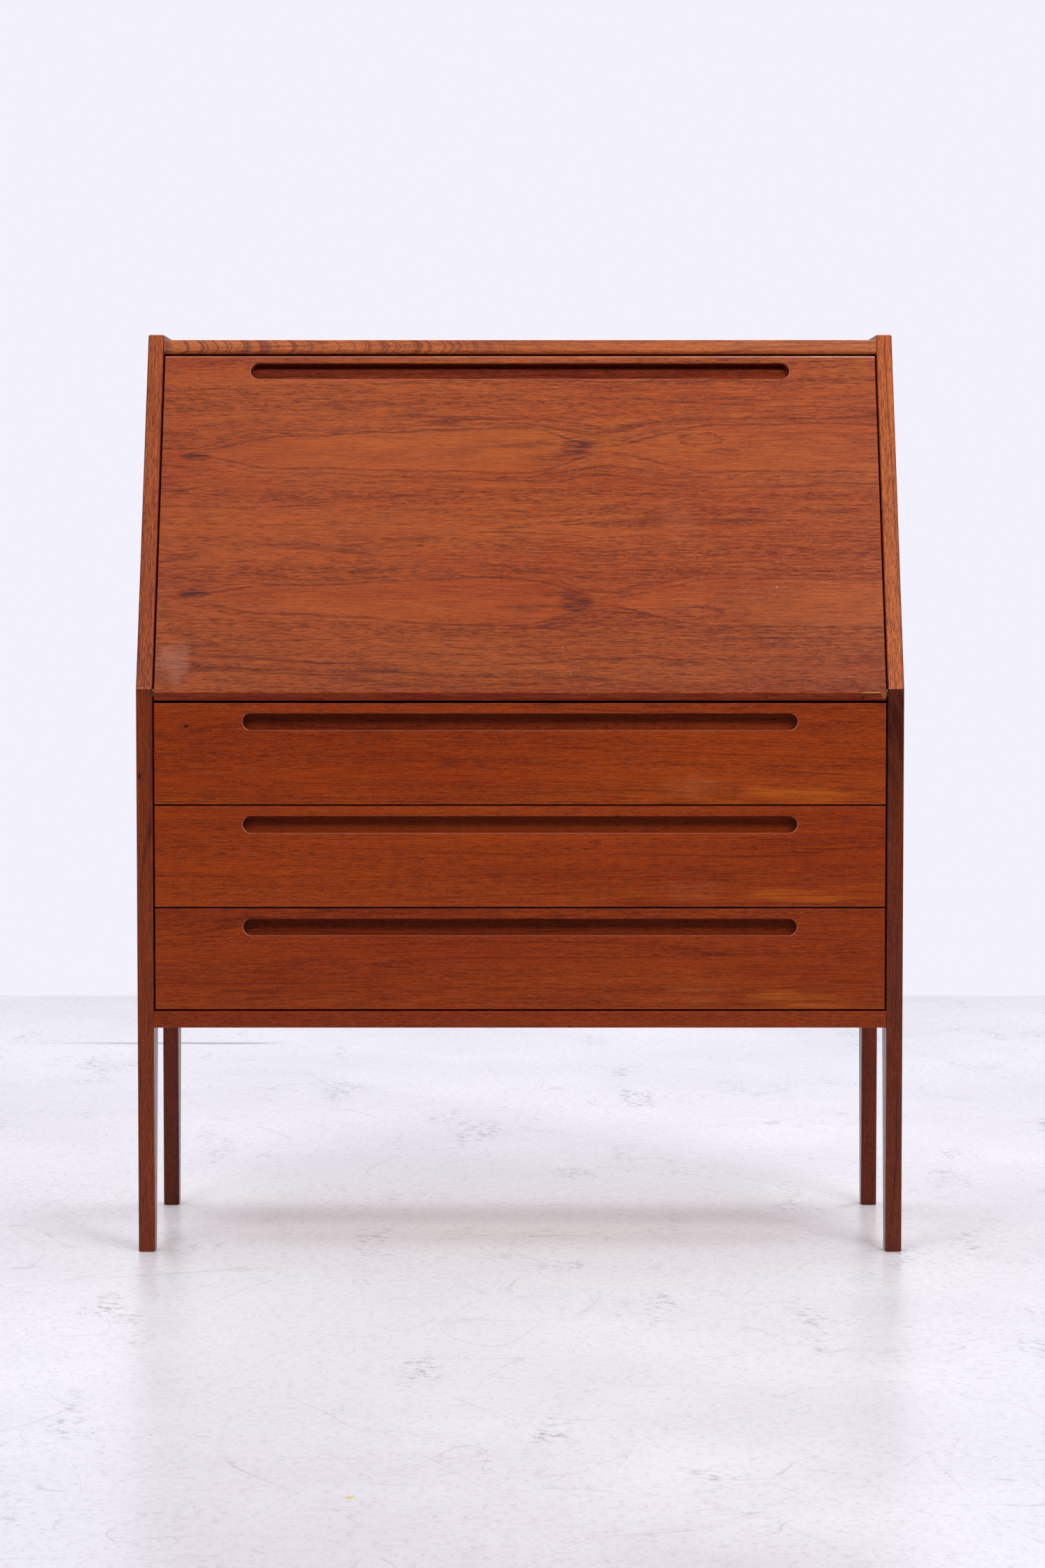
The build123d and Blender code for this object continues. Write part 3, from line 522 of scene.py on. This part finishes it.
flap_slot = {"face": FLAP_FACE, "bottom": 1.0149, "top": 1.0379, "rim_shine": 0.45,
             "shade_heights": (1.0350, 1.0374), "shade_strengths": (0.34, 0.84)}
give(teak("teak_flap", "flap", 0.0, FLAP_TONES, dash=1.10, specular=0.16, relief=0.55, dash_length=21.0,
          fine=1.25, painted_sheen=0.03, flecks=0.6, figure=flap_figure, slot=flap_slot, extra=flap_edges,
          matt_below=LIP_MATT_BELOW),
     "flap_board")
for number, low in DRAWER_LOW.items():
    drawer_slot = {"face": DRAWER_FACE, "bottom": low + 0.0953, "top": low + 0.1168, "rim_shine": 0.20,
                   "shade_heights": (low + 0.099, low + 0.111), "shade_strengths": (0.10, 0.52)}
    give(teak(f"teak_drawer_{number}", "x", 2.0 + number, DRAWER_TONES, dash=0.9, ring=0.8, specular=0.18,
              dash_length=24.0, fine=1.2, slot=drawer_slot, extra=drawer_marks(number)),
         f"drawer_{number}_front")
for hand, seed in (("left", 11.0), ("right", 14.0)):
    give(teak(f"teak_leg_{hand}", "z", seed, LEG_TONES[hand], dash=0.6, gloss=0.30, specular=0.25,
              dash_length=24.0, extra=leg_marks(hand)),
         f"front_leg_{hand}")
    give(teak(f"teak_rear_{hand}", "z", seed + 1, REAR_TONES[hand], dash=0.6, gloss=0.30, specular=0.25),
         f"rear_leg_{hand}")
    give(teak(f"teak_panel_{hand}", "z", seed + 2, SIDE_TONES, gloss=0.30), f"side_panel_{hand}")
    give(teak(f"teak_post_{hand}", "slant", seed + 3, POST_TONES[hand], dash=0.85, specular=0.16, fine=1.3,
              extra=post_sides),
         f"slant_post_{hand}")
give(teak("teak_top", "x", 21.0, TOP_TONES, ring=1.4, extra=top_arcs), "top_board")
give(teak("teak_rail", "x", 22.0, RAIL_TONES, dash=0.7, specular=0.16), "bottom_rail")
give(teak("teak_inside", "x", 23.0, FLAP_TONES), "desk_floor", "gallery_shelf", "flap_stop",
     "letter_drawer_left_front", "letter_drawer_right_front")
give(teak("teak_upright", "z", 24.0, FLAP_TONES), "nest_wall_left", "nest_wall_middle", "nest_wall_right",
     "divider_left", "divider_right")
give(plain_wood("oak_drawer_sides", "y", 31.0, OAK_TONES),
     *named(lambda name: name.endswith(("_side_left", "_side_right"))))
give(plain_wood("oak_drawer_backs", "x", 32.0, OAK_TONES), "bottom_panel", "carcass_dowels",
     *named(lambda name: "drawer" in name and name.endswith("_back")))
give(plain_wood("oak_runners", "y", 33.0, OAK_TONES), *named(lambda name: name.endswith("_runners")))
give(plain_wood("ply_boards", "x", 34.0, PLY_TONES, gloss=0.65), "back_panel",
     *named(lambda name: "drawer" in name and name.endswith("_bottom")))
give(metal("bronze_dark", linear(120, 104, 92), 0.45, linear(60, 48, 40)), "pivot_pins", "pivot_bushes")
give(metal("brass_satin", linear(196, 158, 92), 0.32, linear(120, 88, 46)), "flap_screws",
     *named(lambda name: name.startswith(("stay_", "flap_stay"))))
give(metal("steel_zinc", linear(176, 176, 172), 0.38, linear(110, 108, 104)), "case_screws")

# The CAD meshes carry their own normals, and a face shows them only where it is set to smooth.
for node in nodes.values():
    for polygon in node.data.polygons:
        polygon.use_smooth = True


# ---------------------------------------------------------------- floor and backdrop
CRACK_Y = 2.014
PAINT_SPOT = (-0.164, -1.599)
# Families of hair scratches: how closely they lie, which way they run in radians, and how wide they are.
HAIRS = ((3.1, 0.3, 0.0030), (5.3, -0.9, 0.0034), (8.0, 1.5, 0.0050))


def floor_material():
    """Pale painted floor: faint clouds and mottling, fine grain, hair scratches, scrapes and grey scuffs, one
    crack and one paint spot. It is painted lighter under the desk, which lifts the desk's shadow, and painted
    a little darker towards the camera, as shade."""
    t = Tree("studio_floor")
    coords = t.coords()
    x, y, _ = t.axes(coords)
    cloud = t.noise(coords, 1.3, 5.0, 0.6)
    mottle = t.noise(coords, 55.0, 5.0, 0.7)
    spot = t.noise(coords, 14.0, 4.0, 0.65)
    base = t.mix(t.ramp(cloud, 0.35, 0.70), linear(228, 226, 232), linear(240, 238, 243))
    # Painted light under the desk, which lifts the desk's shadow.
    lifted_shadow = t.mul(t.ramp(t.abs(x), 0.75, 0.30), t.ramp(t.abs(y), 0.60, 0.10))
    base = t.mix(t.mul(lifted_shadow, 0.90), base, linear(254, 252, 255))
    base = t.mix(t.mul(t.ramp(mottle, 0.50, 0.68), 0.34), base, linear(206, 202, 207))
    base = t.mix(t.mul(t.ramp(spot, 0.60, 0.78), 0.30), base, linear(205, 202, 208))

    scratched = t.ramp(t.texture(((x, 2.2), (y, 1.5), 4.0), 3.0, 0.6), 0.34, 0.54)
    for number, (scale, turn, width) in enumerate(HAIRS):
        across = t.add(t.mul(x, math.cos(turn)), t.mul(y, math.sin(turn)))
        along = t.sub(t.mul(y, math.cos(turn)), t.mul(x, math.sin(turn)))
        sweep = t.texture(((across, scale), (along, scale * 0.45), number * 9.0), 1.0, 0.4, 0.8)
        hair = t.ramp(t.abs(t.sub(sweep, 0.5)), width, width * 0.3)
        broken = t.ramp(t.texture(((x, 7.0), (y, 7.0), number * 5.0), 3.0, 0.6), 0.43, 0.58)
        base = t.mix(t.mul(t.mul(hair, t.mul(broken, scratched)), 0.34), base, linear(172, 166, 170))
    grain = t.texture(((x, 110.0), (y, 90.0), 6.0), 5.0, 0.8)
    base = t.mix(t.ramp(grain, 0.50, 0.68, 0.0, 0.46), base, linear(176, 170, 174))
    scrape = t.texture(((x, 60.0), (t.add(y, t.mul(x, 0.4)), 60.0), 8.0), 4.0, 0.75)
    worn = t.texture(((x, 7.5), (y, 2.6), 12.0), 3.0, 0.6)
    scraped = t.mul(t.ramp(scrape, 0.50, 0.60), t.ramp(worn, 0.57, 0.70, 0.0, 0.60))
    base = t.mix(scraped, base, linear(132, 130, 134))
    speck = t.noise(coords, 70.0, 2.0, 0.5)
    base = t.mix(t.mul(t.ramp(speck, 0.745, 0.775), 0.6), base, linear(120, 112, 112))
    scuff = t.ramp(t.texture(((x, 9.0), (y, 5.0), 2.0), 5.0, 0.75), 0.60, 0.72)
    scuff = t.mul(scuff, t.ramp(t.abs(t.sub(y, 0.25)), 1.0, 0.2))
    base = t.mix(t.mul(scuff, 0.46), base, linear(168, 168, 174))

    wander = t.sway(t.texture(((x, 6.0), 0.0, 0.0), 4.0, 0.6), 0.030)
    crack = t.ramp(t.abs(t.sub(t.sub(y, CRACK_Y), wander)), 0.022, 0.005)
    crack = t.mul(crack, t.band(x, -0.95, -0.60, -0.40, -0.52))
    base = t.mix(t.mul(crack, 0.7), base, linear(112, 108, 122))
    paint = t.ramp(t.reach((x, PAINT_SPOT[0], 0.0048), (y, PAINT_SPOT[1], 0.0075)), 1.0, 0.6)
    base = t.mix(t.mul(paint, 0.8), base, linear(226, 206, 84))

    # Painted shade: the floor is darker towards the camera.
    near = t.ramp(y, 1.2, -2.0, 1.0, 0.80, smooth=False)
    base = t.mix(1.0, base, t.vec(near, near, near), "MULTIPLY")
    t.put(t.shader.inputs["Base Color"], base)
    t.put(t.shader.inputs["Roughness"], t.add(0.30, t.sway(cloud, 0.25)))
    t.bump(mottle, 0.10, 0.0008)
    return t.material


def plane_mesh(name, corners, material):
    mesh = bpy.data.meshes.new(name)
    mesh.from_pydata(corners, [], [tuple(range(len(corners)))])
    mesh.materials.append(material)
    made = bpy.data.objects.new(name, mesh)
    scene.collection.objects.link(made)


FLOOR_NEAR, FLOOR_FAR = -3.4, 2.811
FLOOR_SIDE = 8.0
plane_mesh("floor", [(-FLOOR_SIDE, FLOOR_NEAR, 0), (FLOOR_SIDE, FLOOR_NEAR, 0), (FLOOR_SIDE, FLOOR_FAR, 0),
                     (-FLOOR_SIDE, FLOOR_FAR, 0)], floor_material())


# ---------------------------------------------------------------- light
def area_light(name, place, target, size, power):
    light = bpy.data.lights.new(name, "AREA")
    light.shape = "RECTANGLE"
    light.size, light.size_y = size
    light.energy = power
    made = bpy.data.objects.new(name, light)
    scene.collection.objects.link(made)
    made.location = place
    made.rotation_mode = "QUATERNION"
    made.rotation_quaternion = (Vector(target) - Vector(place)).to_track_quat("-Z", "Y")


area_light("key_upper_right", (1.9, -3.3, 3.9), (0, 0, 0.9), (1.6, 1.2), 92)
area_light("key_upper_left", (-1.9, -3.5, 3.9), (0, 0, 0.9), (1.6, 1.2), 56)
area_light("overhead", (0, 0.5, 4.3), (0, 0.3, 0), (5.5, 4.5), 150)

WORLD_COLOUR = linear(242, 241, 252)
WORLD_BEHIND = 0.75
WORLD_ABOVE = 0.35
WORLD_FRONT = 0.05
WORLD_SEEN = 1.0


def studio_world():
    """A bright backdrop behind the desk, a softer ceiling, and a dark room on the camera's side."""
    world = bpy.data.worlds.new("studio")
    scene.world = world
    world.use_nodes = True
    tree = world.node_tree
    background = tree.nodes["Background"]

    def add_node(kind, **settings):
        made = tree.nodes.new(kind)
        for key, value in settings.items():
            setattr(made, key, value)
        return made

    def ramp(value, low, high, to_high):
        made = add_node("ShaderNodeMapRange", interpolation_type="SMOOTHSTEP", clamp=True)
        tree.links.new(value, made.inputs["Value"])
        for key, number in (("From Min", low), ("From Max", high), ("To Min", 0.0), ("To Max", to_high)):
            made.inputs[key].default_value = number
        return made.outputs["Result"]

    def join(operation, a, b):
        made = add_node("ShaderNodeMath", operation=operation)
        for socket, value in zip(made.inputs, (a, b)):
            if isinstance(value, bpy.types.NodeSocket):
                tree.links.new(value, socket)
            else:
                socket.default_value = value
        return made.outputs[0]

    split = add_node("ShaderNodeSeparateXYZ")
    tree.links.new(add_node("ShaderNodeTexCoord").outputs["Generated"], split.inputs[0])
    behind = ramp(split.outputs[1], -0.15, 0.45, WORLD_BEHIND)
    above = ramp(split.outputs[2], 0.25, 0.85, WORLD_ABOVE)
    lit = join("ADD", join("ADD", behind, above), WORLD_FRONT)
    seen = add_node("ShaderNodeLightPath").outputs["Is Camera Ray"]
    unseen = join("MULTIPLY", lit, join("SUBTRACT", 1.0, seen))
    strength = join("ADD", unseen, join("MULTIPLY", seen, WORLD_SEEN))
    tree.links.new(strength, background.inputs["Strength"])
    background.inputs["Color"].default_value = WORLD_COLOUR


studio_world()


# ---------------------------------------------------------------- camera, fitted to the photograph's edges
CAMERA_PLACE = (0, -5.543, 0.9167)
CAMERA_DOWN_DEGREES = 3.349
SENSOR_WIDTH = 36
FOCAL_LENGTH = 95.48
PHOTO_HEIGHT = 2250
SHIFT_PIXELS = 3.5

camera_data = bpy.data.cameras.new("camera")
camera_data.sensor_width = SENSOR_WIDTH
camera_data.lens = FOCAL_LENGTH
camera_data.shift_x = SHIFT_PIXELS / PHOTO_HEIGHT
camera = bpy.data.objects.new("camera", camera_data)
scene.collection.objects.link(camera)
camera.location = CAMERA_PLACE
camera.rotation_euler = (math.radians(90 - CAMERA_DOWN_DEGREES), 0, 0)
scene.camera = camera

scene.view_settings.view_transform = "Standard"
